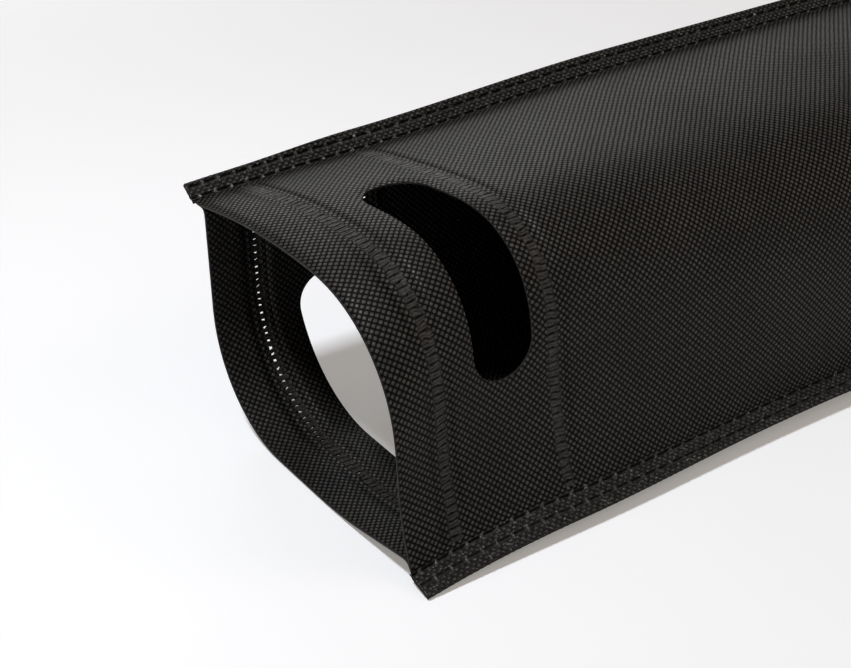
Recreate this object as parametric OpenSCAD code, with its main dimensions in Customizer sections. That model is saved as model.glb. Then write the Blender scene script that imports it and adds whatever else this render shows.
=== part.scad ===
// One-bottle carrier: a black non-woven bag, welded at the sides, lying on its back panel.
// X runs from the mouth to the bottom, Y across the bag to the far seam, Z up from the table.
// The origin is under the middle of the bag, on the table.

/* [Fabric] */
// Thickness of one layer of fabric
fabric_t = 0.5; // [0.4:0.05:0.8]
// Width of each panel between its two side seams, along the fabric
panel_w = 155; // [140:1:180]
// Length from the fold at the mouth to the folds at the bottom
body_l = 390; // [340:5:440]
// Width of the sealed margin outside the far seam
far_margin_w = 7.5; // [6:0.25:9]
// Width of the sealed margin outside the near seam
near_margin_w = 8.75; // [6:0.25:9]
// Width of the bottom gusset when it is pulled flat
gusset_w = 92; // [88:1:104]
// Gap between the gusset and the panels that it is folded from
gusset_gap = 0.3; // [0.2:0.05:0.4]

/* [Handle] */
// Depth of the hem that is folded in at the mouth
hem_l = 58; // [54:1:72]
// Length of each finger slot, along the fabric
slot_l = 81; // [70:1:90]
// Width of each finger slot
slot_w = 19; // [17:0.5:22]
// Distance from the mouth to the middle of the slots
slot_x = 37.5; // [34:0.5:39]

/* [Welds] */
// Thickness of the fused weld between two layers
weld_t = 0.4; // [0.3:0.05:0.5]
// Distance from the mouth to the first line of weld bars
mouth_weld_x = 15.5; // [12:0.5:20]
// Distance from the end of the hem back to the second line of weld bars
hem_weld_back = 5; // [3:0.5:6]
// Length of one weld bar, along the bag
bar_l = 2.6; // [2:0.1:4]
// Width of one weld bar, along the weld line
bar_w = 1.1; // [0.8:0.1:1.4]
// Distance between the middles of two bars
bar_pitch = 2.1; // [1.8:0.05:3]
// Length of one dash in a side seal
dash_l = 3.6; // [3:0.1:4]
// Distance between the middles of two dashes
dash_pitch = 5; // [4.5:0.25:7]
// Width of a dash
dash_w = 1; // [0.8:0.1:1.2]
// Distance from the seam to the inner row of dashes
inner_row = 1; // [0.7:0.1:1.2]
// Distance between the two rows of dashes
row_gap = 3.8; // [3:0.1:4]
// How far the inner dashes are shifted along the bag from the outer ones
row_shift = 2.5; // [0:0.1:3]

/* [Hidden] */

// Colours of the cloth, its folded-in inside and the glossy fused marks
panel_black = [0.11, 0.11, 0.115];
hem_black = [0.15, 0.15, 0.155];
gusset_black = [0.13, 0.13, 0.135];
weld_black = [0.04, 0.04, 0.045];

// The two sides of the bag, used as the sign of the outward direction
FRONT = 1;
BACK = -1;

// Corners of the cross-section as shares of the panel width, [across, up], before rounding:
// far seam, where the panels part beside it, near top corner, where the panels part beside
// the near seam, near seam, crease where the cloth meets the table, far low corner
mouth_corner_shares = [
    [0.371, 0.409], [0.334, 0.414], [-0.249, 0.479], [-0.315, 0.036], [-0.321, 0.014], [-0.103, 0.000], [0.314, 0.000]
];
handle_corner_shares = [
    [0.366, 0.416], [0.340, 0.426], [-0.207, 0.535], [-0.306, 0.052], [-0.314, 0.040], [-0.097, 0.000], [0.323, 0.000]
];
body_corner_shares = [
    [0.381, 0.428], [0.366, 0.432], [-0.258, 0.506], [-0.292, 0.057], [-0.298, 0.046], [-0.090, 0.000], [0.326, 0.000]
];
base_corner_shares = [
    [0.361, 0.392], [0.346, 0.397], [-0.258, 0.487], [-0.301, 0.059], [-0.306, 0.048], [-0.103, 0.000], [0.319, 0.000]
];
// Radii of the near top corner, the crease and the far low corner, then how far
// the top and the near side stand proud of straight, as shares of the panel width
mouth_round_shares = [0.245, 0.774, 0.219, 0.012, -0.011];
handle_round_shares = [0.173, 0.400, 0.258, 0.007, -0.021];
body_round_shares = [0.232, 0.400, 0.284, 0.012, -0.006];
base_round_shares = [0.194, 0.400, 0.232, 0.008, -0.006];
// Where the handle's section, the body's section and the last stretch start, as shares of the length
handle_share = 0.128;
full_share = 0.385;
settle_share = 0.59;
// Cross-sections between the end of the hem and the body's, and on to the bottom
rise_shares = [0.2, 0.26, 0.32, 0.385];
settle_shares = [0.59, 0.7, 0.8, 0.9, 1];
// Points along a straight run, as shares of the run that starts at a seam or ends at one
leaving_shares = [0.05, 0.35, 0.7];
arriving_shares = [0.3, 0.65, 0.95];
// Directions in which the sealed margins stand out, from the Y axis: at the mouth, and past the handle
far_margin_as = [35, 48];
near_margin_as = [-166, -159];

// Points of a margin, with its seam and the place where the panels part
margin_points = 3;
corner_steps = 10;
crease_steps = 3;
fold_steps = 4;
slot_end_steps = 13;
gusset_steps = 22;
// Profile of the gusset from the front fold to the back fold: how far across, how far in
gusset_across_shares = [0, 0.22, 0.45, 0.55, 0.78, 1];
gusset_depth_shares = [0, 0.48, 0.96, 0.96, 0.48, 0];

fold_r = fabric_t + weld_t / 2;
slot_start = (panel_w - slot_l) / 2;
hem_weld_x = hem_l - hem_weld_back;
// What the weld lines and the gusset leave free beside a seam
weld_clear = 6;
gusset_clear = 4;
// Places of the seams and of the parting points in the tables of corners
FAR_SEAM = 0;
FAR_PART = 1;
TOP_CORNER = 2;
NEAR_PART = 3;
NEAR_SEAM = 4;
CREASE = 5;
LOW_CORNER = 6;
// The fused layer stays this much thinner than its gap
weld_ease = 0.1;
// How far a cutter runs past what it cuts
overrun = 6;

function unit(v) = v / norm(v);
function blend(a, b, w) = a * (1 - w) + b * w;
function ease_in_out(w) = w * w * (3 - 2 * w);
function ease_out(w) = 1 - pow(1 - w, 2);
function within(w) = max(0, min(1, w));
function heading(a) = [cos(a), sin(a)];
function outward(along, side) = side * [along[1], -along[0]];

// Blends the tables of the four sections at a distance x from the mouth
function part_way(x, from_share, to_share) =
    within((x - from_share * body_l) / ((to_share - from_share) * body_l));
function at_x(tables, x) =
    x < handle_share * body_l ? blend(tables[0], tables[1], ease_out(part_way(x, 0, handle_share)))
    : x < full_share * body_l
        ? blend(tables[1], tables[2], ease_in_out(part_way(x, handle_share, full_share)))
    : blend(tables[2], tables[3], ease_in_out(part_way(x, settle_share, 1)));

function corners(x) = [
    for (c = at_x([mouth_corner_shares, handle_corner_shares, body_corner_shares, base_corner_shares], x))
        c * panel_w + [0, fold_r]
];
function rounds(x) =
    at_x([mouth_round_shares, handle_round_shares, body_round_shares, base_round_shares], x) * panel_w;

// Points of the arc that rounds the corner q between p and r
function rounded(p, q, r, radius, steps) =
    let (
        u = unit(p - q),
        v = unit(r - q),
        half = acos(u * v) / 2,
        reach = radius / tan(half),
        centre = q + unit(u + v) * radius / sin(half),
        from = q + u * reach - centre,
        to = q + v * reach - centre,
        start = atan2(from[1], from[0]),
        turn = atan2(from[0] * to[1] - from[1] * to[0], from * to)
    )
    [for (k = [0 : steps]) centre + radius * heading(start + turn * k / steps)];

// Points of a run from p to q that stands proud of straight by crown
function run(p, q, shares, crown, side) = [
    for (w = shares) blend(p, q, w) + outward(unit(q - p), side) * crown * 4 * w * (1 - w)
];

// Middle of the cloth from the far margin's edge, round the bag, to the near margin's edge
function front_line(x) =
    let (
        c = corners(x),
        r = rounds(x),
        arc = rounded(c[FAR_PART], c[TOP_CORNER], c[NEAR_PART], r[0], corner_steps)
    )
    concat(
        far_margin(c, x),
        run(c[FAR_PART], arc[0], leaving_shares, r[3], FRONT),
        arc,
        run(arc[corner_steps], c[NEAR_PART], arriving_shares, r[4], FRONT),
        near_margin(c, x)
    );
function back_line(x) =
    let (
        c = corners(x),
        r = rounds(x),
        arc = rounded(c[FAR_PART], c[LOW_CORNER], c[CREASE], r[2], corner_steps),
        crease = rounded(c[LOW_CORNER], c[CREASE], c[NEAR_PART], r[1], crease_steps)
    )
    concat(
        far_margin(c, x),
        run(c[FAR_PART], arc[0], leaving_shares, 0, BACK),
        arc,
        crease,
        run(crease[crease_steps], c[NEAR_PART], arriving_shares, 0, BACK),
        near_margin(c, x)
    );
function margin_a(seam, x) =
    let (ends = seam == FAR_SEAM ? far_margin_as : near_margin_as)
    blend(ends[0], ends[1], ease_out(part_way(x, 0, handle_share)));
function far_margin(c, x) =
    [c[FAR_SEAM] + heading(margin_a(FAR_SEAM, x)) * far_margin_w, c[FAR_SEAM], c[FAR_PART]];
function near_margin(c, x) =
    [c[NEAR_PART], c[NEAR_SEAM], c[NEAR_SEAM] + heading(margin_a(NEAR_SEAM, x)) * near_margin_w];
function line(x, side) = side == FRONT ? front_line(x) : back_line(x);

// Outward direction at each point of a line, long enough to keep a layer's thickness at a bend
function leans(points, side) = [
    for (i = [0 : len(points) - 1])
        let (
            a = unit(points[max(i, 1)] - points[max(i, 1) - 1]),
            b = unit(points[min(i + 1, len(points) - 1)] - points[min(i, len(points) - 2)]),
            m = unit(a + b)
        )
        outward(m, side) / (m * a)
];
// The line at x moved outwards by d, as points in space
function skin(x, side, d) =
    let (points = line(x, side), lean = leans(points, side))
    [for (i = [0 : len(points) - 1]) [x, points[i][0] + lean[i][0] * d, points[i][1] + lean[i][1] * d]];
// The same between the two places where the panels part
function skin_inside(x, side, d) =
    let (s = skin(x, side, d))
    [for (i = [margin_points : len(s) - 1 - margin_points]) s[i]];

// Lengths along the line from the far seam to each point
function lengths(points, i = 1) =
    i == 1 ? concat([0], lengths(points, 2))
    : i > len(points) - 2 ? []
    : let (rest = lengths(points, i + 1), step = norm(points[i] - points[i - 1]))
        concat([step], [for (r = rest) r + step]);
// What place() reads: lengths, points and outward directions at x, and the line's own length
function chart(x, side) =
    let (
        points = line(x, side),
        lean = leans(points, side),
        along = lengths(points),
        last = len(along) - 1
    )
    [
        [for (i = [0 : last]) [along[i], points[i + 1][0]]],
        [for (i = [0 : last]) [along[i], points[i + 1][1]]],
        [for (i = [0 : last]) [along[i], lean[i + 1][0]]],
        [for (i = [0 : last]) [along[i], lean[i + 1][1]]],
        along[last]
    ];
// Place on a chart at a distance s from the far seam, d outwards from the middle of the cloth
function place(map, s, d) =
    let (w = s * map[4] / panel_w)
    [lookup(w, map[0]) + lookup(w, map[2]) * d, lookup(w, map[1]) + lookup(w, map[3]) * d];

// A closed sheet between two grids of points with the same rows and columns
module sheet(outer, inner) {
    rows = len(outer) - 1;
    cols = len(outer[0]) - 1;
    width = cols + 1;
    under = (rows + 1) * width;
    facing = (outer[0][0] - inner[0][0]) * cross(outer[0][1] - outer[0][0], outer[1][0] - outer[0][0]);
    quads = concat(
        [for (j = [0 : rows - 1], i = [0 : cols - 1])
            [j * width + i, (j + 1) * width + i, (j + 1) * width + i + 1, j * width + i + 1]],
        [for (j = [0 : rows - 1], i = [0 : cols - 1])
            [for (n = [j * width + i, j * width + i + 1, (j + 1) * width + i + 1, (j + 1) * width + i])
                under + n]],
        [for (i = [0 : cols - 1]) [i, i + 1, under + i + 1, under + i]],
        [for (i = [0 : cols - 1]) let (e = rows * width + i) [e + 1, e, under + e, under + e + 1]],
        [for (j = [0 : rows - 1]) let (e = j * width) [e + width, e, under + e, under + e + width]],
        [for (j = [0 : rows - 1]) let (e = j * width + cols) [e, e + width, under + e + width, under + e]]
    );
    faces = [for (q = quads, half = [[0, 1, 2], [0, 2, 3]])
        facing > 0
            ? [q[half[0]], q[half[1]], q[half[2]]]
            : [q[half[2]], q[half[1]], q[half[0]]]];
    polyhedron(
        points = concat([for (row = outer) each row], [for (row = inner) each row]),
        faces = faces
    );
}

// Cross-sections of a hem past its fold, then those of a panel, from where that fold ends
hem_xs = [mouth_weld_x, slot_x, hem_weld_x, hem_l];
panel_xs = concat(
    [fold_r],
    hem_xs,
    rise_shares * body_l,
    settle_shares * body_l
);

module panel(side) {
    sheet(
        [for (x = panel_xs) skin(x, side, weld_t / 2 + fabric_t)],
        [for (x = panel_xs) skin(x, side, weld_t / 2)]
    );
}

// Prism through one panel and its hem, with the slot's outline as it lies on the flat fabric
module slot_prism(side) {
    map = chart(slot_x, side);
    slot_r = slot_w / 2;
    slot_end = slot_start + slot_l;
    chord = unit(place(map, slot_end, 0) - place(map, slot_start, 0));
    out = outward(chord, side);
    turn = atan2(out[1], out[0]) - 90;
    ends = concat(
        [for (k = [0 : slot_end_steps])
            let (a = 90 + 180 * k / slot_end_steps)
            [slot_start + slot_r + slot_r * cos(a), slot_r * sin(a)]],
        [for (k = [0 : slot_end_steps])
            let (a = 270 + 180 * k / slot_end_steps)
            [slot_end - slot_r + slot_r * cos(a), slot_r * sin(a)]]
    );
    heights = [for (e = ends) place(map, e[0], 0) * out];
    tall = max([for (k = [0 : corner_steps]) place(map, slot_start + slot_l * k / corner_steps, 0) * out]);
    low = min(heights) - overrun;
    rotate([turn, 0, 0])
        translate([slot_x, 0, low])
            linear_extrude(height = tall + overrun - low)
                polygon([for (e = ends) [e[1], place(map, e[0], 0) * heading(turn)]]);
}

module front_panel() {
    color(panel_black)
        difference() {
            panel(FRONT);
            slot_prism(FRONT);
        }
}

module back_panel() {
    color(panel_black)
        difference() {
            panel(BACK);
            slot_prism(BACK);
        }
}

// Layer that turns in at the mouth and lies inside the panel
module hem(side) {
    turns = [for (k = [0 : fold_steps]) 180 * k / fold_steps];
    difference() {
        sheet(
            concat(
                [for (a = turns) skin_inside(fold_r - fold_r * sin(a), side, fold_r * cos(a))],
                [for (x = hem_xs) skin_inside(x, side, -fold_r)]
            ),
            concat(
                [for (a = turns)
                    skin_inside(fold_r - weld_t / 2 * sin(a), side, weld_t / 2 * cos(a))],
                [for (x = hem_xs) skin_inside(x, side, -weld_t / 2)]
            )
        );
        slot_prism(side);
    }
}

module front_hem() {
    color(hem_black) hem(FRONT);
}

module back_hem() {
    color(hem_black) hem(BACK);
}

// Strip folded up between the panels at the bottom, half opened by the bag's fullness
module bottom_gusset() {
    front_map = chart(body_l, FRONT);
    back_map = chart(body_l, BACK);
    inset = weld_t / 2 - fabric_t - gusset_gap;
    half_w = gusset_w / 2;
    last_s = gusset_steps;
    last_u = len(gusset_across_shares) - 1;
    face = [
        for (k = [0 : last_s])
            let (
                s = blend(gusset_clear, panel_w - gusset_clear, k / last_s),
                front = place(front_map, s, inset),
                back = place(back_map, s, inset),
                half_c = norm(front - back) / 2,
                depth = sqrt(max(0, half_w * half_w - half_c * half_c))
            )
            [for (u = [0 : last_u])
                let (p = blend(front, back, gusset_across_shares[u]))
                [body_l - depth * gusset_depth_shares[u], p[0], p[1]]]
    ];
    // The cloth thickens from its outer face towards the inside of the bag
    inside = [
        for (k = [0 : last_s])
            [for (u = [0 : last_u])
                let (
                    along = face[min(k + 1, last_s)][u] - face[max(k - 1, 0)][u],
                    across = face[k][min(u + 1, last_u)] - face[k][max(u - 1, 0)],
                    lean = unit(cross(along, across))
                )
                face[k][u] - lean * fabric_t]
    ];
    color(gusset_black) sheet(face, inside);
}

// One line of weld bars across a panel, in the gap between the panel and its hem
module weld_line(side, x) {
    map = chart(x, side);
    gaps = floor((panel_w - 2 * weld_clear) / bar_pitch);
    start = (panel_w - gaps * bar_pitch) / 2;
    half_t = (weld_t - weld_ease) / 2;
    color(weld_black)
        for (k = [0 : gaps])
            sheet(
                bar_face(map, x, start + k * bar_pitch, half_t),
                bar_face(map, x, start + k * bar_pitch, -half_t)
            );
}
function bar_face(map, x, s, d) = [
    for (end = [-bar_l / 2, bar_l / 2])
        [for (edge = [-bar_w / 2, bar_w / 2])
            let (p = place(map, s + edge, d))
            [x + end, p[0], p[1]]]
];

module front_mouth_weld() {
    weld_line(FRONT, mouth_weld_x);
}

module front_hem_weld() {
    weld_line(FRONT, hem_weld_x);
}

module back_mouth_weld() {
    weld_line(BACK, mouth_weld_x);
}

module back_hem_weld() {
    weld_line(BACK, hem_weld_x);
}

// One row of dashes along a margin, between its two layers
module seal_row(seam, from_seam, shift) {
    count = floor((body_l - shift) / dash_pitch);
    start = dash_pitch / 2 + shift;
    half_t = (weld_t - weld_ease) / 2;
    color(weld_black)
        for (k = [0 : count - 1])
            sheet(
                dash_face(start + k * dash_pitch, seam, from_seam, half_t),
                dash_face(start + k * dash_pitch, seam, from_seam, -half_t)
            );
}
function dash_face(x, seam, from_seam, d) = [
    for (end = [-dash_l / 2, dash_l / 2])
        let (a = margin_a(seam, x + end))
        [for (edge = [-dash_w / 2, dash_w / 2])
            let (p = corners(x + end)[seam] + heading(a) * (from_seam + edge) + heading(a + 90) * d)
            [x + end, p[0], p[1]]]
];

module near_inner_seal() {
    seal_row(NEAR_SEAM, inner_row, row_shift);
}

module near_outer_seal() {
    seal_row(NEAR_SEAM, inner_row + row_gap, 0);
}

module far_inner_seal() {
    seal_row(FAR_SEAM, inner_row, row_shift);
}

module far_outer_seal() {
    seal_row(FAR_SEAM, inner_row + row_gap, 0);
}

// Edges of the two margins across the bag, which set where its middle is
far_edge = max([for (x = panel_xs) each [for (s = [FRONT, BACK]) skin(x, s, fold_r)[0][1]]]);
near_edge = min([for (x = panel_xs) each [for (s = [FRONT, BACK])
    let (points = skin(x, s, fold_r)) points[len(points) - 1][1]]]);

module placed() {
    translate([-body_l / 2, -(far_edge + near_edge) / 2, 0]) children();
}

placed() front_panel();
placed() back_panel();
placed() front_hem();
placed() back_hem();
placed() bottom_gusset();
placed() front_mouth_weld();
placed() front_hem_weld();
placed() back_mouth_weld();
placed() back_hem_weld();
placed() near_inner_seal();
placed() near_outer_seal();
placed() far_inner_seal();
placed() far_outer_seal();
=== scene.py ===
import bpy
import numpy as np
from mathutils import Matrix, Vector


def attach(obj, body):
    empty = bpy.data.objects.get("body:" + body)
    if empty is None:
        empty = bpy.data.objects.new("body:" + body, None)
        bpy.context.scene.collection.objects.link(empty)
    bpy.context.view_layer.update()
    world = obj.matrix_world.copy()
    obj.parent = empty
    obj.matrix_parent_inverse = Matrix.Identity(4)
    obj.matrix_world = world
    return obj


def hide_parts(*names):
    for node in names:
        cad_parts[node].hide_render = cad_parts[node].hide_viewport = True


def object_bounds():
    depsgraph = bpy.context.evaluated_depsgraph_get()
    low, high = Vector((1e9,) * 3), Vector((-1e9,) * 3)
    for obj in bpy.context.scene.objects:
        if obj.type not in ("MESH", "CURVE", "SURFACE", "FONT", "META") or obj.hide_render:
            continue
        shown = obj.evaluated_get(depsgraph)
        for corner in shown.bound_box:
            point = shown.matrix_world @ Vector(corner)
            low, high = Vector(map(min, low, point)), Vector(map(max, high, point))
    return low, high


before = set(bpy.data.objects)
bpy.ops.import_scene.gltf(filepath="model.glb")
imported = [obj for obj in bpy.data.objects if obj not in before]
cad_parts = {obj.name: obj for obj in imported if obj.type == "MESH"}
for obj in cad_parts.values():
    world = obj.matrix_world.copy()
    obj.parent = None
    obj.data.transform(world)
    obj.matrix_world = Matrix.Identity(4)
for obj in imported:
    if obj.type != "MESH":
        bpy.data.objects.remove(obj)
cad_box = [list(map(float, corner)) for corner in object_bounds()]

MM = 0.001
ROOT = "root"

FRONT = 1
BACK = -1

# Cloth, as in the frame
FABRIC_T = 0.5 * MM
WELD_T = 0.4 * MM
FOLD_R = FABRIC_T + WELD_T / 2
PANEL_W = 155 * MM
BODY_L = 390 * MM
FAR_MARGIN_W = 7.5 * MM
NEAR_MARGIN_W = 8.75 * MM
GUSSET_W = 92 * MM
HEM_L = 58 * MM

# Finger slots
SLOT_X = 37.5 * MM
SLOT_L = 81 * MM
SLOT_R = 9.5 * MM

# Weld lines across the panels
MOUTH_WELD_X = 15.5 * MM
HEM_WELD_X = 53 * MM
WELD_BAND = 3.2 * MM
BAR_L = 3.0 * MM
BAR_PITCH = 2.1 * MM

# Dashes of the side seals
DASH_L = 3.6 * MM
DASH_W = 1.0 * MM
DASH_PITCH = 5 * MM
INNER_ROW = 1.0 * MM
ROW_GAP = 3.8 * MM
ROW_SHIFT = 2.5 * MM

# Corners of the cross-sections as shares of the panel width: far seam, far parting, near top,
# near parting, near seam, crease, far low. Then the radii of the near top, crease and far low,
# and how far the front stands proud on the far and the near side of its top corner
CORNERS = 7
MOUTH = [
    0.371, 0.409, 0.334, 0.414, -0.249, 0.479, -0.315, 0.036, -0.321, 0.014, -0.103, 0, 0.314, 0,
    0.245, 0.774, 0.219, 0.012, -0.011,
]
HANDLE = [
    0.366, 0.416, 0.340, 0.426, -0.207, 0.535, -0.306, 0.052, -0.314, 0.040, -0.097, 0, 0.323, 0,
    0.173, 0.400, 0.258, 0.007, -0.021,
]
BODY = [
    0.381, 0.428, 0.366, 0.432, -0.258, 0.506, -0.292, 0.057, -0.298, 0.046, -0.090, 0, 0.326, 0,
    0.232, 0.400, 0.284, 0.012, -0.006,
]
BASE = [
    0.361, 0.392, 0.346, 0.397, -0.258, 0.487, -0.301, 0.059, -0.306, 0.048, -0.103, 0, 0.319, 0,
    0.194, 0.400, 0.232, 0.008, -0.006,
]
MOUTH, HANDLE, BODY, BASE = (np.array(row) for row in (MOUTH, HANDLE, BODY, BASE))
HANDLE_SHARE = 0.128
FULL_SHARE = 0.385
SETTLE_SHARE = 0.59
# Directions of the margins from the Y axis, at the mouth and past the handle
FAR_MARGIN_ANGLES = np.radians([35, 48])
NEAR_MARGIN_ANGLES = np.radians([-166, -159])


def unit(v):
    return v / np.linalg.norm(v)


def heading(angle):
    return np.array([np.cos(angle), np.sin(angle)])


def part_way(x, start, end):
    return float(np.clip((x / BODY_L - start) / (end - start), 0, 1))


def ease_in_out(w):
    return w * w * (3 - 2 * w)


def ease_out(w):
    return 1 - (1 - w) ** 2


def rise(low, high, value):
    """0 up to low, 1 from high on, and smooth between them."""
    return ease_in_out(np.clip((value - low) / (high - low), 0, 1))


def fall(low, high, value):
    return 1 - rise(low, high, value)


def section(x):
    """Corners in the YZ plane, and radii and crowns, at a distance x from the mouth."""
    if x < HANDLE_SHARE * BODY_L:
        a, b, w = MOUTH, HANDLE, ease_out(part_way(x, 0, HANDLE_SHARE))
    elif x < FULL_SHARE * BODY_L:
        a, b, w = HANDLE, BODY, ease_in_out(part_way(x, HANDLE_SHARE, FULL_SHARE))
    else:
        a, b, w = BODY, BASE, ease_in_out(part_way(x, SETTLE_SHARE, 1))
    values = (a * (1 - w) + b * w) * PANEL_W
    return values[: 2 * CORNERS].reshape(CORNERS, 2) + [0, FOLD_R], values[2 * CORNERS :]


def rounded(p, q, r, radius, count=40):
    """Arc that rounds the corner q between p and r."""
    u, v = unit(p - q), unit(r - q)
    half = np.arccos(u @ v) / 2
    centre = q + unit(u + v) * radius / np.sin(half)
    start = q + u * radius / np.tan(half) - centre
    end = q + v * radius / np.tan(half) - centre
    turn = np.arctan2(start[0] * end[1] - start[1] * end[0], start @ end)
    angles = np.arctan2(start[1], start[0]) + turn * np.linspace(0, 1, count)
    return centre + radius * np.stack([np.cos(angles), np.sin(angles)], 1)


def run(p, q, crown, side, count=30):
    """Points from p to q that stand proud of straight by crown."""
    w = np.linspace(0, 1, count)[:, None]
    along = unit(q - p)
    return p * (1 - w) + q * w + side * np.array([along[1], -along[0]]) * crown * 4 * w * (1 - w)


def panel_line(x, side):
    """Middle of one side's cloth from the far seam to the near seam."""
    corners, sizes = section(x)
    far_seam, far_parting, near_top, near_parting, near_seam, crease, far_low = corners
    top_r, crease_r, low_r, far_crown, near_crown = sizes
    if side == FRONT:
        arc = rounded(far_parting, near_top, near_parting, top_r)
        parts = [run(far_parting, arc[0], far_crown, side), arc, run(arc[-1], near_parting, near_crown, side)]
    else:
        arc = rounded(far_parting, far_low, crease, low_r)
        fold = rounded(far_low, crease, near_parting, crease_r)
        parts = [run(far_parting, arc[0], 0, side), arc, fold, run(fold[-1], near_parting, 0, side)]
    return np.vstack([far_seam, *parts, near_seam])


def margin_heading(x, angles):
    w = ease_out(part_way(x, 0, HANDLE_SHARE))
    return heading(angles[0] * (1 - w) + angles[1] * w)


# Tables of the cloth's place at every x and s
TABLE_STEP_X = 1 * MM
TABLE_STEP_S = 0.25 * MM
# A look-up stops just inside the last cell
TABLE_END = 1.001
# How softly the cloth bends at the seams and creases, and along the front's ridge
CREASE_SOFTNESS = 1.6 * MM
RIDGE_SOFTNESS = 8 * MM
# The softening takes in the points within this many times its softness
KERNEL_REACH = 4
# How far from a side seam the seam still holds the cloth
SEAM_REACH = 30 * MM
table_xs = np.arange(0, BODY_L + TABLE_STEP_X / 2, TABLE_STEP_X)
table_ss = np.arange(-FAR_MARGIN_W, PANEL_W + NEAR_MARGIN_W + TABLE_STEP_S / 2, TABLE_STEP_S)


def off_seams(s):
    """0 at the side seams and 1 where they no longer hold the cloth."""
    return rise(0, SEAM_REACH, s) * rise(0, SEAM_REACH, PANEL_W - s)


def softened(points, softness):
    """Points of a line with its corners softened."""
    reach = int(KERNEL_REACH * softness / TABLE_STEP_S)
    kernel = np.exp(-0.5 * (np.arange(-reach, reach + 1) * TABLE_STEP_S / softness) ** 2)
    before = 2 * points[0] - points[reach:0:-1]
    after = 2 * points[-1] - points[-2 : -reach - 2 : -1]
    padded = np.vstack([before, points, after])
    return np.stack([np.convolve(padded[:, k], kernel / kernel.sum(), "valid") for k in (0, 1)], 1)


def line_row(x, side):
    """One row of a side's table: the cloth's middle and its outward direction at every s."""
    points = panel_line(x, side)
    lengths = np.linalg.norm(np.diff(points, axis=0), axis=1)
    along = np.append(0, np.cumsum(lengths))
    along = along * PANEL_W / along[-1]
    middle = np.stack([np.interp(table_ss, along, points[:, k]) for k in (0, 1)], 1)
    far = table_ss < 0
    near = table_ss > PANEL_W
    middle[far] = points[0] - table_ss[far, None] * margin_heading(x, FAR_MARGIN_ANGLES)
    middle[near] = points[-1] + (table_ss[near, None] - PANEL_W) * margin_heading(x, NEAR_MARGIN_ANGLES)
    middle = softened(middle, CREASE_SOFTNESS)
    if side == FRONT:
        middle += off_seams(table_ss)[:, None] * (softened(middle, RIDGE_SOFTNESS) - middle)
    tangent = np.gradient(middle, axis=0)
    tangent /= np.linalg.norm(tangent, axis=1)[:, None]
    return np.hstack([middle, side * tangent[:, 1:], -side * tangent[:, :1]])


TABLES = {side: np.array([line_row(x, side) for x in table_xs]) for side in (FRONT, BACK)}
MARGIN_Y = [TABLES[side][:, edge, 0] for side in (FRONT, BACK) for edge in (0, -1)]
cad_middle_y = (cad_box[0][1] + cad_box[1][1]) / 2
MIDDLE_Y = (np.max(MARGIN_Y) + np.min(MARGIN_Y)) / 2 - cad_middle_y


def mixed(values, rows, columns, row_share, column_share):
    """Values of a grid at places between its rows and columns, given as cells and shares of them."""
    near_row = values[rows, columns] * (1 - column_share) + values[rows, columns + 1] * column_share
    next_row = values[rows + 1, columns] * (1 - column_share) + values[rows + 1, columns + 1] * column_share
    return near_row * (1 - row_share) + next_row * row_share


def lookup(side, x, s):
    """The table's values at cloth coordinates x and s."""
    fx = np.clip(x / TABLE_STEP_X, 0, len(table_xs) - TABLE_END)
    fs = np.clip((s - table_ss[0]) / TABLE_STEP_S, 0, len(table_ss) - TABLE_END)
    ix, js = fx.astype(int), fs.astype(int)
    return mixed(TABLES[side], ix, js, (fx - ix)[..., None], (fs - js)[..., None])


# Soft waves of the front: length along the bag, length across it and start, for each
WAVES = ((92 * MM, 210 * MM, 0.0), (61 * MM, -130 * MM, 1.0))
WAVE_H = 0.2 * MM


def waves(x, s):
    total = sum(np.sin(2 * np.pi * (x / along + s / across) + start) for along, across, start in WAVES)
    return WAVE_H * off_seams(s) * total


def place(side, x, s, d):
    """Points in the row's frame, d outwards from the middle of the cloth. x may pass either end."""
    values = lookup(side, x, s)
    if side == FRONT:
        d = d + waves(x, s)
    yz = values[..., :2] + values[..., 2:] * np.asarray(d)[..., None]
    return np.stack([x - BODY_L / 2, yz[..., 0] - MIDDLE_Y, yz[..., 1]], -1)


def room(x, s):
    """Half the distance between the front and the back, which the inner layers share."""
    apart = lookup(FRONT, x, s)[..., :2] - lookup(BACK, x, s)[..., :2]
    return np.linalg.norm(apart, axis=-1) / 2


# The emboss is small pillows on a diagonal grid, two rows of them in this distance
EMBOSS_PITCH = 2 * MM
# Values of the grid's wave at which the side of a pillow begins and ends
PILLOW_RISE = (0.05, 0.8)


def emboss(x, s):
    """Height of the emboss, from 0 in the lines between the pillows to 1 on them."""
    wave = 2 * np.pi / EMBOSS_PITCH
    return rise(*PILLOW_RISE, np.abs(np.cos(wave * x) + np.cos(wave * s)) / 2)


# The random values of grain repeat after this many lumps
GRAIN_KNOTS = 64


def grain(x, s, size, seed):
    """Smooth random values from 0 to 1 over the cloth, about one lump in each length of size."""
    knots = np.random.default_rng(seed).random((GRAIN_KNOTS, GRAIN_KNOTS))
    knots = np.pad(knots, ((0, 1), (0, 1)), mode="wrap")
    fx, fs = x / size, s / size
    ix, js = np.floor(fx).astype(int), np.floor(fs).astype(int)
    return mixed(knots, ix % GRAIN_KNOTS, js % GRAIN_KNOTS, ease_in_out(fx - ix), ease_in_out(fs - js))


# Meshes
def grid_quads(rows, columns, keep=None):
    """Cells of a grid of points as quads, where keep says so."""
    index = np.arange(rows * columns).reshape(rows, columns)
    quads = np.stack([index[:-1, :-1], index[1:, :-1], index[1:, 1:], index[:-1, 1:]], -1)
    return quads.reshape(-1, 4) if keep is None else quads[keep]


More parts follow.
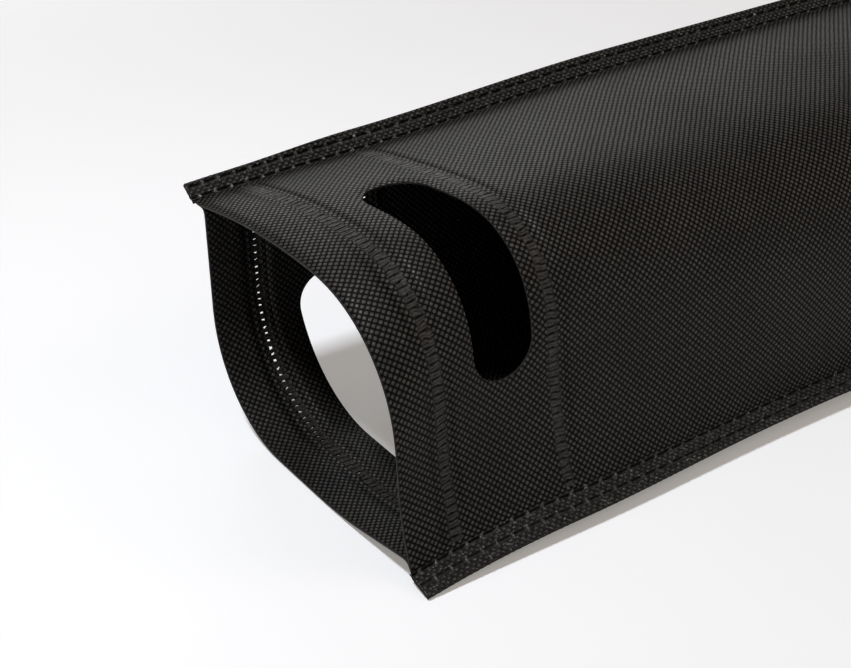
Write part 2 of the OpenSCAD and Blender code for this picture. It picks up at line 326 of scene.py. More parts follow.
def rim_edges(quads):
    """Directed edges that belong to one quad only."""
    edges = np.concatenate([quads[:, [k, (k + 1) % 4]] for k in range(4)])
    keys = np.sort(edges, axis=1)
    _, first, counts = np.unique(keys, axis=0, return_index=True, return_counts=True)
    return edges[first[counts == 1]]


def shell(name, flat, quads, outer, inner, material, bare=None, painted_light=None):
    """A closed sheet from two sets of points over the same quads, with its cloth coordinates as UVs.

    bare says for each point how bare of emboss the cloth is, and the other mark how much painted light it
    carries: painted highlights and glints, less where painted shade is. 1 is full, and that mark may be more.
    """
    used, compact = np.unique(quads, return_inverse=True)
    quads = compact.reshape(quads.shape)
    flat, outer, inner = flat[used], outer[used], inner[used]
    count = len(used)
    a, b, c = outer[quads[:, 0]], outer[quads[:, 1]], outer[quads[:, 2]]
    facing = np.einsum("ij,ij->i", np.cross(b - a, c - b), a - inner[quads[:, 0]])
    if np.median(facing) < 0:
        quads = quads[:, ::-1]
    rim = rim_edges(quads)
    walls = np.stack([rim[:, 1], rim[:, 0], rim[:, 0] + count, rim[:, 1] + count], -1)
    faces = np.concatenate([quads, quads[:, ::-1] + count, walls])
    mesh = bpy.data.meshes.new(name + "_look")
    mesh.from_pydata(np.concatenate([outer, inner]).tolist(), [], faces.tolist())
    is_wall = np.arange(len(faces)) >= 2 * len(quads)
    mesh.polygons.foreach_set("use_smooth", ~is_wall)
    uv = mesh.uv_layers.new(name="cloth")
    coordinates = np.concatenate([flat, flat])[faces.reshape(-1)]
    uv.data.foreach_set("uv", coordinates.reshape(-1))
    for mark, values in (("bare", bare), ("painted_light", painted_light)):
        values = np.zeros(count) if values is None else values[used]
        attribute = mesh.attributes.new(mark, "FLOAT", "POINT")
        attribute.data.foreach_set("value", np.tile(values, 2))
    mesh.materials.append(material)
    mesh.materials.append(CUT_EDGE)
    mesh.polygons.foreach_set("material_index", is_wall.astype(int))
    mesh.validate()
    piece = bpy.data.objects.new(name + "_look", mesh)
    bpy.context.scene.collection.objects.link(piece)
    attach(piece, ROOT)
    return piece


# Materials
class Nodes:
    """Short ways to add nodes to a material or a world."""

    def __init__(self, owner, shader="Principled BSDF"):
        owner.use_nodes = True
        self.owner = owner
        self.tree = owner.node_tree
        self.shader = self.tree.nodes[shader]

    def add(self, kind):
        return self.tree.nodes.new("ShaderNode" + kind)

    def link(self, source, target):
        self.tree.links.new(source, target)

    def put(self, socket, value):
        if isinstance(value, bpy.types.NodeSocket):
            self.link(value, socket)
        else:
            socket.default_value = value

    def math(self, operation, a, b=0.0):
        node = self.add("Math")
        node.operation = operation
        self.put(node.inputs[0], a)
        self.put(node.inputs[1], b)
        return node.outputs[0]

    def vector(self, operation, a):
        node = self.add("VectorMath")
        node.operation = operation
        self.put(node.inputs[0], a)
        return node

    def span(self, value, low, high, to_low, to_high):
        """Smooth step from to_low to to_high as the value goes from low to high."""
        node = self.add("MapRange")
        node.interpolation_type = "SMOOTHSTEP"
        for k, v in enumerate((value, low, high, to_low, to_high)):
            self.put(node.inputs[k], v)
        return node.outputs[0]

    def colour(self, factor, a, b):
        node = self.add("Mix")
        node.data_type = "RGBA"
        self.put(node.inputs["Factor"], factor)
        self.put(node.inputs[6], a)
        self.put(node.inputs[7], b)
        return node.outputs[2]

    def mark(self, name):
        node = self.add("Attribute")
        node.attribute_name = name
        return node.outputs["Fac"]

    def noise(self, vector, scale, detail):
        node = self.add("TexNoise")
        node.inputs["Scale"].default_value = scale
        node.inputs["Detail"].default_value = detail
        self.link(vector, node.inputs["Vector"])
        return node.outputs["Fac"]


# Scale and detail of each noise in the cloth, and how much it varies the cloth's tone
WANDER_NOISE = (240, 2.0)
FIBRE_NOISE = (2600, 3.0)
LUMP_NOISE = (700, 1.0)
CLOUD_NOISE = (55, 3.0)
FIBRE_TONE = 0.3
CLOUD_TONE = 0.12
# Most of a noise's values lie between these
NOISE_LOW = 0.3
NOISE_HIGH = 0.7
# How far the rows of pillows wander, and where a pillow's top, which carries painted sheen, begins and is
# full
ROW_WANDER = 1.1
PILLOW_TOP_RISE = (0.2, 0.85)
# The net between the pillows: its roughness, and its share of the gloss
NET_ROUGHNESS = 0.6
NET_GLOSS = 1 / 3
# The relief of the fibres beside that of the pillows, and how strong both are
FIBRE_RELIEF = 0.3
RELIEF_STRENGTH = 0.8


def pillows(n, uv):
    """The emboss in the material, from 0 in the net to 1 on the pillows."""
    split = n.add("SeparateXYZ")
    n.link(uv, split.inputs[0])
    shift = n.math("MULTIPLY", n.math("SUBTRACT", n.noise(uv, *WANDER_NOISE), 0.5), ROW_WANDER)
    cosines = []
    for axis in (0, 1):
        phase = n.math("MULTIPLY", split.outputs[axis], 2 * np.pi / EMBOSS_PITCH)
        cosines.append(n.math("COSINE", n.math("ADD", phase, shift)))
    height = n.math("ABSOLUTE", n.math("MULTIPLY", n.math("ADD", *cosines), 0.5))
    return n.span(height, *PILLOW_TOP_RISE, 0.0, 1.0)


def cloth(name, pillow_sheen_colour, net_shade_colour, gloss, roughness, relief_height, patchy):
    """Spunbond cloth with its emboss: light pillows, whose colour carries painted sheen, in a dark net, whose
    colour carries painted shade, except where it is bare of emboss or carries painted highlights and glints.
    """
    n = Nodes(bpy.data.materials.new(name))
    uv_map = n.add("UVMap")
    uv_map.uv_map = "cloth"
    uv = uv_map.outputs["UV"]
    painted_light = n.mark("painted_light")
    shown = n.math("MULTIPLY", pillows(n, uv), n.math("SUBTRACT", 1.0, n.mark("bare")))
    lit = n.math("MAXIMUM", shown, painted_light)
    fibres, lumps, clouds = (n.noise(uv, *noise) for noise in (FIBRE_NOISE, LUMP_NOISE, CLOUD_NOISE))
    # Painted light above 1, the painted glints, makes the colour brighter than the pillows'
    tone_and_highlight = n.math("MAXIMUM", painted_light, 1.0)
    for noise, varies in ((fibres, FIBRE_TONE), (lumps, patchy), (clouds, CLOUD_TONE)):
        tone_and_highlight = n.math("MULTIPLY", tone_and_highlight, n.span(noise, NOISE_LOW, NOISE_HIGH, 1 - varies, 1 + varies))
    tinted = n.vector("SCALE", n.colour(lit, net_shade_colour, pillow_sheen_colour))
    n.link(tone_and_highlight, tinted.inputs["Scale"])
    n.link(tinted.outputs[0], n.shader.inputs["Base Color"])
    n.link(n.span(lit, 0.0, 1.0, NET_ROUGHNESS, roughness), n.shader.inputs["Roughness"])
    n.link(n.span(lit, 0.0, 1.0, NET_GLOSS * gloss, gloss), n.shader.inputs["Specular IOR Level"])
    relief = n.add("Bump")
    relief.inputs["Strength"].default_value = RELIEF_STRENGTH
    relief.inputs["Distance"].default_value = relief_height
    rough = n.math("MULTIPLY", n.math("ADD", fibres, lumps), FIBRE_RELIEF)
    n.link(n.math("ADD", shown, rough), relief.inputs["Height"])
    n.link(relief.outputs[0], n.shader.inputs["Normal"])
    return n.owner


def plain(name, colour, roughness, gloss):
    n = Nodes(bpy.data.materials.new(name))
    n.shader.inputs["Base Color"].default_value = colour
    n.shader.inputs["Roughness"].default_value = roughness
    n.shader.inputs["Specular IOR Level"].default_value = gloss
    return n.owner


# The net's colour, near black as painted shade between the pillows, the gloss, roughness and relief of the
# pillows, and how patchy their tone is
LOOSE_LOOK = ((0.0022, 0.0021, 0.002, 1), 0.23, 0.41, 0.11 * MM, 0.28)
FUSED_LOOK = ((0.012, 0.0115, 0.011, 1), 0.42, 0.3, 0.3 * MM, 0.5)
# First each cloth's pillow colour, which carries painted sheen
PANEL_CLOTH = cloth("panel_cloth", (0.058, 0.055, 0.0525, 1), *LOOSE_LOOK)
# The hems are the panels' cloth painted darker, a painted shade for the inside of the bag
SHADED_HEM_CLOTH = cloth("shaded_hem_cloth", (0.045, 0.043, 0.0415, 1), *LOOSE_LOOK)
GUSSET_CLOTH = cloth("gusset_cloth", (0.06, 0.057, 0.0545, 1), *LOOSE_LOOK)
FUSED_CLOTH = cloth("fused_cloth", (0.042, 0.0405, 0.039, 1), *FUSED_LOOK)
CUT_EDGE = plain("cut_edge", (0.02, 0.0195, 0.019, 1), 0.8, 0.1)

# Panels and hems, on one set of columns, with a ring of quads round each slot
COLUMNS = 104
ROW_STEP = 3 * MM
RING_STEP = 1.5 * MM
RING_STEPS = 6
RING_MARGIN = 4.5 * MM
RING_END_MARGIN = 6 * MM
RING_TO_WELD = 0.4 * MM
column_ss = np.linspace(0, PANEL_W, COLUMNS + 1)
slot_s = (PANEL_W - SLOT_L) / 2
ring_xs = (SLOT_X - SLOT_R - RING_MARGIN, HEM_WELD_X - WELD_BAND - RING_TO_WELD)
ring_columns = [
    int(np.searchsorted(column_ss, slot_s - RING_END_MARGIN)),
    int(np.searchsorted(column_ss, PANEL_W - slot_s + RING_END_MARGIN)),
]
# The weld lines run between the second and the last but one of the columns
weld_columns = (1, COLUMNS - 1)
# Over this width at the slot's edge a layer is pressed thin, until its outer and its inner face are
# at these distances from the middle of the cloth
RIM_W = 2.4 * MM
RIM_T = 0.26 * MM
RIM_GAP = 0.02 * MM
# At the mouth it is pressed by a share of that, and less and less over this length
MOUTH_PRESS = 0.65
MOUTH_PRESS_L = 7 * MM


def steps(start, end, step):
    """Even places from start to end, the end left out."""
    return list(np.linspace(start, end, max(1, round((end - start) / step)) + 1)[:-1])


def even(start, end, step):
    """Even places from start to end, both of them in."""
    return np.linspace(start, end, round((end - start) / step) + 1)


def rows_between(start, end):
    """Rows of a panel or hem, with one at each edge of a weld line's band and of the slot's ring."""
    bands = [[weld_x - WELD_BAND, weld_x + WELD_BAND] for weld_x in (MOUTH_WELD_X, HEM_WELD_X)]
    stops = [start, *bands[0], *ring_xs, *bands[1], end]
    rows = []
    for a, b in zip(stops[:-1], stops[1:]):
        rows += steps(a, b, RING_STEP if a == ring_xs[0] else ROW_STEP)
    return np.array(rows + [end])


def nearest(rows, value):
    return int(np.argmin(np.abs(rows - value)))


def slot_centre(s):
    """The s nearest to s in the straight part of the slot's middle."""
    return np.clip(s, slot_s + SLOT_R, PANEL_W - slot_s - SLOT_R)


def slotted_sheet(rows):
    """Cloth coordinates and quads of a sheet with its slot cut out and its weld bands left open."""
    x, s = np.meshgrid(rows, column_ss, indexing="ij")
    flat = np.stack([x.ravel(), s.ravel()], 1)
    width = len(column_ss)
    keep = np.ones((len(rows) - 1, width - 1), bool)
    for weld_x in (MOUTH_WELD_X, HEM_WELD_X):
        band = slice(nearest(rows, weld_x - WELD_BAND), nearest(rows, weld_x + WELD_BAND))
        keep[band, weld_columns[0] : weld_columns[1]] = False
    low, high = (nearest(rows, x) for x in ring_xs)
    left, right = ring_columns
    keep[low:high, left:right] = False
    quads = [grid_quads(len(rows), width, keep)]
    loop = [(low, c) for c in range(left, right)]
    loop += [(r, right) for r in range(low, high)]
    loop += [(high, c) for c in range(right, left, -1)]
    loop += [(r, left) for r in range(high, low, -1)]
    ids = np.array([r * width + c for r, c in loop])
    outer = flat[ids]
    centre = np.stack([np.full(len(outer), SLOT_X), slot_centre(outer[:, 1])], 1)
    away = outer - centre
    edge = centre + SLOT_R * away / np.linalg.norm(away, axis=1)[:, None]
    for k in range(1, RING_STEPS + 1):
        w = ease_out(k / RING_STEPS)
        next_ids = len(flat) + np.arange(len(outer))
        flat = np.vstack([flat, outer * (1 - w) + edge * w])
        quads.append(np.stack([ids, next_ids, np.roll(next_ids, -1), np.roll(ids, -1)], -1))
        ids = next_ids
    return flat, np.concatenate(quads)


def sheet_heights(x, s):
    """Distances of a layer's two faces from the middle, pressed thin at the slot's edge and the mouth."""
    from_edge = np.hypot(x - SLOT_X, s - slot_centre(s)) - SLOT_R
    share = np.maximum(fall(0, RIM_W, from_edge), MOUTH_PRESS * fall(FOLD_R, MOUTH_PRESS_L, x))
    return FOLD_R - (FOLD_R - RIM_T) * share, WELD_T / 2 - (WELD_T / 2 - RIM_GAP) * share


def panel(name, side):
    flat, quads = slotted_sheet(rows_between(FOLD_R, BODY_L))
    x, s = flat.T
    outer, inner = (place(side, x, s, d) for d in sheet_heights(x, s))
    piece = shell(name, flat, quads, outer, inner, PANEL_CLOTH)
    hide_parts(name)
    return piece


# Steps of the folds. The one at the mouth is smooth, with a painted highlight along its rim that makes it a
# little lighter than the net
FOLD_STEPS = 10
FOLD_HIGHLIGHT = 0.55


def hem(name, side):
    """The layer that turns in at the mouth: a half-round fold and the sheet behind the panel."""
    flat, quads = slotted_sheet(rows_between(FOLD_R, HEM_L))
    width = len(column_ss)
    turns = np.radians(np.linspace(0, 180, FOLD_STEPS + 1))[:-1]
    angle, fold_s = (values.ravel() for values in np.meshgrid(turns, column_ss, indexing="ij"))
    count = len(angle)
    x, s = flat.T
    limit = room(x, s)
    fold_limit = room(np.full(count, FOLD_R), fold_s)

    def face(d):
        """The fold's points and then the sheet's, on the face that is d from the middle."""
        fold_d = np.maximum(d[0] * np.cos(angle), -fold_limit)
        fold = place(side, FOLD_R - d[0] * np.sin(angle), fold_s, fold_d)
        return np.vstack([fold, place(side, x, s, -np.minimum(d, limit))])

    fold_flat = np.stack([FOLD_R - FOLD_R * (np.pi - angle), fold_s], 1)
    inside_flat = np.stack([-x, s], 1)
    in_fold = np.append(np.sin(angle), np.zeros(len(x)))
    outer, inner = (face(d) for d in sheet_heights(x, s))
    # The fold is bare of emboss and carries a painted highlight along its rim
    piece = shell(
        name,
        np.vstack([fold_flat, inside_flat]),
        np.concatenate([grid_quads(FOLD_STEPS + 1, width), quads + count]),
        outer,
        inner,
        SHADED_HEM_CLOTH,
        in_fold,
        FOLD_HIGHLIGHT * in_fold,
    )
    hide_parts(name)
    return piece


# Weld lines: flat bars with a slit between each two, and a pit through the cloth in each slit
WELD_STEP = 0.2 * MM
# How far the bars are pressed in, how bright a painted highlight makes them (less on the back), and how much
# and over what length that varies at random
BAR_DEPTH = {FRONT: 0.01 * MM, BACK: 0.38 * MM}
BAR_HIGHLIGHT = {FRONT: 0.6, BACK: 0.25}
BAR_HIGHLIGHT_SPREAD = 0.4
BAR_HIGHLIGHT_GRAIN = 0.6 * MM
# A bar fades out between these distances beyond its end
BAR_END = (-0.4 * MM, 0.5 * MM)
# How far the bars wander, and the length in which they do so
BAR_WANDER = 0.8 * MM
BAR_GRAIN = 1.5 * MM
# A slit is full up to the first distance from its middle and gone at the second
SLIT_W = (0.1 * MM, 0.5 * MM)
SLIT_DEPTH = 0.24 * MM
# The least share of that depth that a slit has, and the length in which its depth varies
SLIT_LEAST = 0.3
SLIT_GRAIN = 1.1 * MM
# A shallower slit along the middle of each bar
MIDDLE_SLIT = 0.5
MIDDLE_SLIT_W = (0, 0.35 * MM)
# Pits go through the cloth, wider on the back
PIT_L = {FRONT: 0.6 * MM, BACK: 1.0 * MM}
PIT_W = {FRONT: 0.3 * MM, BACK: 0.52 * MM}
# The line's rim is tucked this far under the sheets round it, so that no gap shows
TUCK = 0.1 * MM
TUCK_DEPTH = 0.02 * MM


def weld_line(name, side, weld_x, seed):
    start, end = column_ss[weld_columns[0]] - TUCK, column_ss[weld_columns[1]] + TUCK
    reach = WELD_BAND + TUCK
    rows = weld_x + even(-reach, reach, WELD_STEP)
    across = even(start, end, WELD_STEP)
    x, s = np.meshgrid(rows, across, indexing="ij")
    from_rim = np.minimum(reach - np.abs(x - weld_x), np.minimum(s - start, end - s))
    tucked = TUCK_DEPTH * fall(0, 2 * TUCK, from_rim)
    wander = BAR_WANDER * (grain(x, s, BAR_GRAIN, seed) - 0.5)
    bars = (s + wander - PANEL_W / 2) / BAR_PITCH
    from_middle = np.abs(bars - np.round(bars)) * BAR_PITCH
    from_slit = BAR_PITCH / 2 - from_middle
    from_line = np.abs(x - weld_x + wander)
    pressed = fall(*BAR_END, from_line - BAR_L / 2)
    slit = np.maximum(fall(*SLIT_W, from_slit), MIDDLE_SLIT * fall(*MIDDLE_SLIT_W, from_middle))
    slit = pressed * slit * (SLIT_LEAST + (1 - SLIT_LEAST) * grain(x, s, SLIT_GRAIN, seed + 1))
    sunk = BAR_DEPTH[side] * pressed + SLIT_DEPTH * slit + tucked
    # The bars get a painted highlight, and the slits a painted shade that takes it away
    tone_and_highlight = BAR_HIGHLIGHT[side] + BAR_HIGHLIGHT_SPREAD * grain(x, s, BAR_HIGHLIGHT_GRAIN, seed + 2)
    cell_from_slit = (from_slit[:-1, :-1] + from_slit[1:, 1:]) / 2
    cell_from_line = np.abs(x[:-1, :-1] + x[1:, 1:] - 2 * weld_x) / 2
    keep = (cell_from_slit > PIT_W[side] / 2) | (cell_from_line > PIT_L[side] / 2)
    piece = shell(
        name,
        np.stack([x.ravel(), s.ravel()], 1),
        grid_quads(len(rows), len(across), keep),
        place(side, x, s, FOLD_R - sunk).reshape(-1, 3),
        place(side, x, s, -np.minimum(FOLD_R - sunk, room(x, s))).reshape(-1, 3),
        PANEL_CLOTH,
        pressed.ravel(),
        (pressed * tone_and_highlight * (1 - slit) ** 2).ravel(),
    )
    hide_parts(name)
    return piece


# Margins: both panels fused together, with two rows of pressed dashes and a rib in each gap
MARGIN_STEP_X = 0.3 * MM
MARGIN_STEP_S = 0.2 * MM
# Half its thickness, and the width beside the seam in which it gets thinner to that
MARGIN_HALF_T = 0.55 * MM
MARGIN_TAPER = 0.8 * MM
# The pillows: their height, how much of it is sunk, how far from the seam they are full, the least
# share of the height that one has, and the size of the lumps in which that varies
MARGIN_EMBOSS = 0.24 * MM
EMBOSS_SUNK = 0.3
EMBOSS_START = 0.6 * MM
EMBOSS_LEAST = 0.2
EMBOSS_GRAIN = 1.1 * MM
DASH_DEPTH = 0.35 * MM
BACK_DASH_DEPTH = 0.2 * MM
DASH_EDGE = 0.2 * MM
# Dashes are painted light, a painted highlight on their lower lip
DASH_HIGHLIGHT = 0.9
# How far the rows of dashes wander, and the length in which they do so
DASH_WANDER = 0.25 * MM
DASH_GRAIN = 1.6 * MM
# Each dash has a deeper groove along its upper edge, which is also painted dark, a painted shade
GROOVE_W = 0.6 * MM
GROOVE_DEPTH = 0.4 * MM
# The rib between two dashes, raised and painted with a highlight, plainest at the mouth, where the hems are
# in the seal too
RIB_W = 0.25 * MM
RIB_H = 0.16 * MM
RIB_END = (0.8 * MM, 1.3 * MM)
RIB_HIGHLIGHT = 1.8
RIB_LOSS = 0.8
RIB_LOSS_XS = (HEM_L, 1.6 * HEM_L)
# How much brighter the painted glints, small bright specks on the fused cloth, are than the cloth, how rare
# and how large
GLINT_TONE = 5.5
GLINT_RISE = (0.86, 0.97)
GLINT_GRAIN = 0.5 * MM
# How much narrower a margin is cut, and between which places that changes
NEAR_TRIM = 1.4 * MM
NEAR_TRIM_XS = (30 * MM, 120 * MM)
FAR_TRIM = 1.2 * MM
FAR_TRIM_XS = (15 * MM, 55 * MM)


def near_trim(x):
    """How much narrower the near margin is cut away from the mouth."""
    return NEAR_TRIM * rise(*NEAR_TRIM_XS, x)


def far_trim(x):
    """How much narrower the far margin is cut at the mouth."""
    return FAR_TRIM * fall(*FAR_TRIM_XS, x)


def dashes(x, from_row, shift):
    """Where a row of dashes is pressed in, and where a rib crosses the gap between two, from 0 to 1."""
    phase = (x - DASH_PITCH / 2 - shift) / DASH_PITCH
    along = np.abs(phase - np.round(phase)) * DASH_PITCH
    across = np.abs(from_row)
    pressed = fall(-DASH_EDGE, DASH_EDGE, along - DASH_L / 2)
    pressed *= fall(-DASH_EDGE, DASH_EDGE, across - DASH_W / 2)
    rib = np.exp(-(((along - DASH_PITCH / 2) / RIB_W) ** 2)) * fall(*RIB_END, across)
    return pressed, rib * (1 - RIB_LOSS * rise(*RIB_LOSS_XS, x))


def margin(name, seam_s, outward, width, trim, replaced, seed):
    rows = np.linspace(0, 1, round(width / MARGIN_STEP_S) + 1)
    along = even(0, BODY_L, MARGIN_STEP_X)
    share, x = np.meshgrid(rows, along, indexing="ij")
    w = share * (width - trim(x))
    s = seam_s + outward * w
    w_here = w + DASH_WANDER * (grain(x, s, DASH_GRAIN, seed) - 0.5)
    pressed, rib, groove = np.zeros_like(w), np.zeros_like(w), np.zeros_like(w)
    for row, shift in ((INNER_ROW, ROW_SHIFT), (INNER_ROW + ROW_GAP, 0)):
        row_pressed, row_rib = dashes(x, w_here - row, shift)
        pressed, rib = np.maximum(pressed, row_pressed), np.maximum(rib, row_rib)
        from_groove = (row - outward * (DASH_W - GROOVE_W) / 2 - w_here) / (GROOVE_W / 2)
        groove = np.maximum(groove, row_pressed * np.exp(-(from_groove**2)))
    bare = np.maximum(pressed, rib)
    flat_t = FOLD_R + (MARGIN_HALF_T - FOLD_R) * rise(0, MARGIN_TAPER, w)
    lumps = EMBOSS_LEAST + (1 - EMBOSS_LEAST) * grain(x, s, EMBOSS_GRAIN, seed + 1)
    raised = MARGIN_EMBOSS * (emboss(x, s) * lumps - EMBOSS_SUNK) * (1 - bare) * rise(0, EMBOSS_START, w)
    back_t = flat_t + raised - BACK_DASH_DEPTH * pressed
    front_t = flat_t + raised + RIB_H * rib - DASH_DEPTH * pressed - GROOVE_DEPTH * groove
    # Painted glints: small bright specks, but not in the dashes
    painted_glints = GLINT_TONE * rise(*GLINT_RISE, grain(x, s, GLINT_GRAIN, seed + 2)) * (1 - pressed)
    # Painted highlights on the dashes and ribs, with painted shade along the grooves
    dash_painted_light = np.maximum(DASH_HIGHLIGHT * pressed - groove, RIB_HIGHLIGHT * rib)
    piece = shell(
        name,
        np.stack([x.ravel(), s.ravel()], 1),
        grid_quads(len(rows), len(along)),
        place(FRONT, x, s, front_t).reshape(-1, 3),
        place(BACK, x, s, back_t).reshape(-1, 3),
        FUSED_CLOTH,
        bare.ravel(),
        np.maximum(dash_painted_light, painted_glints).ravel(),
    )
    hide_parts(*replaced)
    return piece


# Bottom gusset: rolls over from both panels and folds up between them
GUSSET_GAP = 0.3 * MM
GUSSET_CLEAR = 4 * MM
GUSSET_COLUMNS = 120
GUSSET_RUN = 14
# How blunt its inner fold is, as a share of its depth
GUSSET_BLUNT = 0.1


def gusset(name):
    ss = np.linspace(GUSSET_CLEAR, PANEL_W - GUSSET_CLEAR, GUSSET_COLUMNS + 1)
    inset = WELD_T / 2 - FABRIC_T - GUSSET_GAP
    end = np.full(len(ss), BODY_L)
    roll_r = (FOLD_R - inset) / 2
    roll_d = (FOLD_R + inset) / 2
    turns = np.radians(np.linspace(0, 180, FOLD_STEPS + 1))

    def at_end(side, d):
        return place(side, end, ss, np.full(len(ss), d))

    def roll(side, radius):
        """Rows of the fold from a panel's end into the gusset."""
        return [at_end(side, roll_d + radius * np.cos(a)) + [radius * np.sin(a), 0, 0] for a in turns]

    front, back = at_end(FRONT, inset), at_end(BACK, inset)
    half = np.linalg.norm(front - back, axis=1) / 2
    depth = np.sqrt(np.maximum(0, (GUSSET_W / 2) ** 2 - half**2))
    shares = np.linspace(0, 1, 2 * GUSSET_RUN + 1)[1:-1]
    fold = np.hypot(2 * shares - 1, GUSSET_BLUNT)
    deep = 1 - (fold - GUSSET_BLUNT) / (np.hypot(1, GUSSET_BLUNT) - GUSSET_BLUNT)
    middle = [front * (1 - w) + back * w - np.outer(depth * v, [1, 0, 0]) for w, v in zip(shares, deep)]
    outer = np.array(roll(FRONT, roll_r) + middle + roll(BACK, roll_r)[::-1])
    lean = np.cross(np.gradient(outer, axis=0), np.gradient(outer, axis=1))
    lean /= np.linalg.norm(lean, axis=2)[..., None]
    if lean[len(outer) // 2, len(ss) // 2, 0] > 0:
        lean = -lean
    inner = outer + lean * FABRIC_T
    inner[: len(turns)] = roll(FRONT, roll_r - FABRIC_T)
    inner[-len(turns) :] = roll(BACK, roll_r - FABRIC_T)[::-1]
    lengths = np.linalg.norm(np.diff(outer[:, len(ss) // 2], axis=0), axis=1)
    down = BODY_L + np.append(0, np.cumsum(lengths))
    flat = np.stack(np.meshgrid(down, ss, indexing="ij"), -1).reshape(-1, 2)
    quads = grid_quads(len(outer), len(ss))
    piece = shell(name, flat, quads, outer.reshape(-1, 3), inner.reshape(-1, 3), GUSSET_CLOTH)
    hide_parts(name)
    return piece


# The pieces. The last number of a weld line or margin seeds its random values
front_panel = panel("front_panel", FRONT)
back_panel = panel("back_panel", BACK)
front_hem = hem("front_hem", FRONT)
back_hem = hem("back_hem", BACK)
front_welds = [
    weld_line("front_mouth_weld", FRONT, MOUTH_WELD_X, 1),
    weld_line("front_hem_weld", FRONT, HEM_WELD_X, 4),
]
back_welds = [
    weld_line("back_mouth_weld", BACK, MOUTH_WELD_X, 7),
    weld_line("back_hem_weld", BACK, HEM_WELD_X, 10),
]
near_seals = ["near_inner_seal", "near_outer_seal"]
near_margin = margin("near_margin", PANEL_W, 1, NEAR_MARGIN_W, near_trim, near_seals, 20)
far_seals = ["far_inner_seal", "far_outer_seal"]
far_margin = margin("far_margin", 0, -1, FAR_MARGIN_W, far_trim, far_seals, 30)
bottom_gusset = gusset("bottom_gusset")


# Floor. To the eye and in reflections it is white, with a warm shadow near the bag
FLOOR_SEEN = (0.89, 0.93, 1, 1)
FLOOR_GLOW = (0.26, 0.25, 0.235, 1)
FLOOR_FAR = (0.93, 0.93, 0.93, 1)
FLOOR_NEAR_R = 0.22
FLOOR_FAR_R = 0.5
# Its colour for the light that it throws back on the bag
FLOOR_TABLE = (0.85, 0.83, 0.81, 1)
FLOOR_ROUGHNESS = 0.8
BLACK = (0, 0, 0, 1)
WHITE = (1, 1, 1, 1)
FLOOR_R = 10
FLOOR_SIDES = 64
BACKDROP_H = 1.9


def floor():
    """A wide round floor with a low wall round it, which is the background of a view from low down."""
    turns = np.linspace(0, 2 * np.pi, FLOOR_SIDES, endpoint=False)
    corners = [(*(FLOOR_R * heading(turn)), z) for z in (0, BACKDROP_H) for turn in turns]
    edges = [(k, (k + 1) % FLOOR_SIDES) for k in range(FLOOR_SIDES)]
    walls = [(a, b, b + FLOOR_SIDES, a + FLOOR_SIDES) for a, b in edges]
    mesh = bpy.data.meshes.new("floor")
    mesh.from_pydata(corners, [], [tuple(range(FLOOR_SIDES)), *walls])
    n = Nodes(bpy.data.materials.new("floor"))
    rays = n.add("LightPath")
    seen = rays.outputs["Is Camera Ray"]
    for ray in ("Is Glossy Ray", "Is Transmission Ray"):
        seen = n.math("MAXIMUM", seen, rays.outputs[ray])
    reach = n.vector("LENGTH", n.add("NewGeometry").outputs["Position"]).outputs["Value"]
    far = n.span(reach, FLOOR_NEAR_R, FLOOR_FAR_R, 0.0, 1.0)
    n.link(n.colour(seen, FLOOR_TABLE, n.colour(far, FLOOR_SEEN, BLACK)), n.shader.inputs["Base Color"])
    n.link(n.colour(far, FLOOR_GLOW, FLOOR_FAR), n.shader.inputs["Emission Color"])
    n.link(seen, n.shader.inputs["Emission Strength"])
    n.shader.inputs["Roughness"].default_value = FLOOR_ROUGHNESS
    n.shader.inputs["Specular IOR Level"].default_value = 0.0
    mesh.materials.append(n.owner)
    plane = bpy.data.objects.new("floor", mesh)
    bpy.context.scene.collection.objects.link(plane)


# Lamps: direction from the origin, distance, size, watts and colour
KEY = ((-0.56, 0.07, 1.0), 0.95, 0.12, 4.9, (1, 1, 1))
FILL = ((0.49, -0.49, 0.68), 1.2, 0.6, 1.3, (1, 0.82, 0.66))


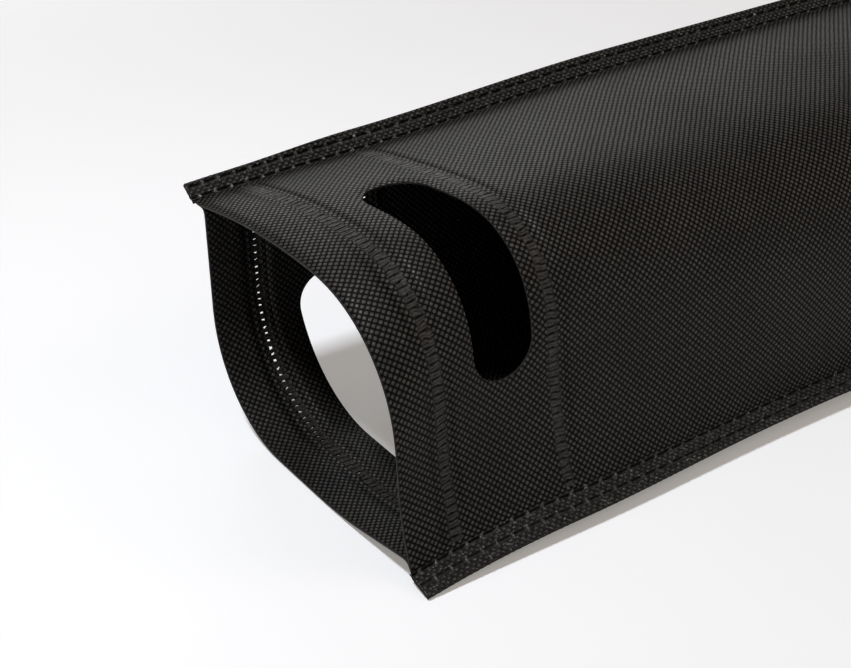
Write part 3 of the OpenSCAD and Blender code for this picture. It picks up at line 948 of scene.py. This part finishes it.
def lamp(name, towards, distance, size, watts, colour):
    data = bpy.data.lights.new(name, "AREA")
    data.size = size
    data.energy = watts
    data.color = colour
    lamp_object = bpy.data.objects.new(name, data)
    direction = Vector(towards).normalized()
    lamp_object.location = direction * distance
    lamp_object.rotation_euler = direction.to_track_quat("Z", "Y").to_euler()
    bpy.context.scene.collection.objects.link(lamp_object)


# The studio is dim and warm, and brightest behind the bag, which gives its top a sheen
BRIGHT_SIDE = (0.40, 0.86, 0.29)
# Cosine of the angle from that side at which the brightness ends
BRIGHT_EDGE = 0.94
STUDIO_DIM = 0.145
STUDIO_BRIGHT = 2.6
DIM_COLOUR = (1, 0.82, 0.68, 1)


def surroundings():
    n = Nodes(bpy.data.worlds.new("studio"), "Background")
    bpy.context.scene.world = n.owner
    facing = n.vector("DOT_PRODUCT", n.add("TexCoord").outputs["Generated"])
    facing.inputs[1].default_value = Vector(BRIGHT_SIDE).normalized()
    glow = n.span(facing.outputs["Value"], BRIGHT_EDGE, 1.0, STUDIO_DIM, STUDIO_BRIGHT)
    n.link(glow, n.shader.inputs["Strength"])
    n.link(n.colour(glow, DIM_COLOUR, WHITE), n.shader.inputs["Color"])


# Where the photograph was taken from, before the shift to the middle of the bag
CAMERA_PLACE = (-0.40936, -0.36999, 0.30359)
CAMERA_LOOK = (0.4857, 0.7090, -0.5113)
CAMERA_LENS = 80.38
SENSOR_W = 36
CLIP_START = 0.01


def camera():
    data = bpy.data.cameras.new("camera")
    data.lens = CAMERA_LENS
    data.sensor_width = SENSOR_W
    data.clip_start = CLIP_START
    viewer = bpy.data.objects.new("camera", data)
    viewer.location = Vector(CAMERA_PLACE) - Vector((0, MIDDLE_Y, 0))
    viewer.rotation_euler = Vector(CAMERA_LOOK).to_track_quat("-Z", "Y").to_euler()
    bpy.context.scene.collection.objects.link(viewer)
    bpy.context.scene.camera = viewer


floor()
surroundings()
lamp("key", *KEY)
lamp("fill", *FILL)
camera()
bpy.context.scene.view_settings.view_transform = "Standard"
